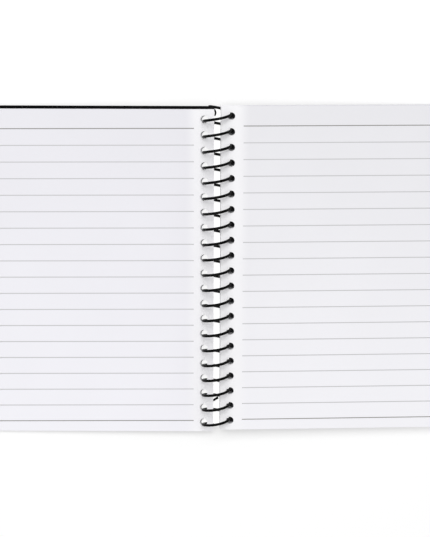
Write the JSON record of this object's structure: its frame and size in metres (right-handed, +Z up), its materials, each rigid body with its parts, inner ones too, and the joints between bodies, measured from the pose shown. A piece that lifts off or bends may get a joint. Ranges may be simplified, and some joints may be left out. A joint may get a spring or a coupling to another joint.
{
  "type": "open spiral notebook",
  "caption": "Open spiral notebook with ruled white pages, black covers and a black wire coil through a row of punched holes.",
  "frame": {"origin": "on the table below the coil's axis, at the middle of the notebook's box", "axes": "+X across the pages towards the right-hand page, +Y along the spine towards the head of the pages, +Z up"},
  "size_m": [0.2576, 0.1822, 0.0166],
  "materials": {
    "paper": "matte white writing paper with fine grey ruled lines",
    "cover_board": "black coated board with a soft sheen",
    "coil_wire": "glossy black coated wire"
  },
  "bodies": {
    "back_half": {"back_cover": "cover_board", "right_pages": "paper"},
    "coil": {"coil": "coil_wire"},
    "front_half": {"front_cover": "cover_board", "left_pages": "paper"}
  },
  "joints": [
    {"name": "front_turn", "type": "hinge", "parent": "back_half", "child": "front_half", "pos_m": [0, 0, 0.00831], "axis": [0, 1, 0], "range_deg": [0, 183.2]},
    {"name": "coil_turn", "type": "hinge", "parent": "back_half", "child": "coil", "pos_m": [0, 0, 0.00831], "axis": [0, 1, 0], "range_deg": [0, 91.6]}
  ],
  "couplings": [
    {"joint": "coil_turn", "follows": "front_turn", "ratio": 0.5}
  ]
}
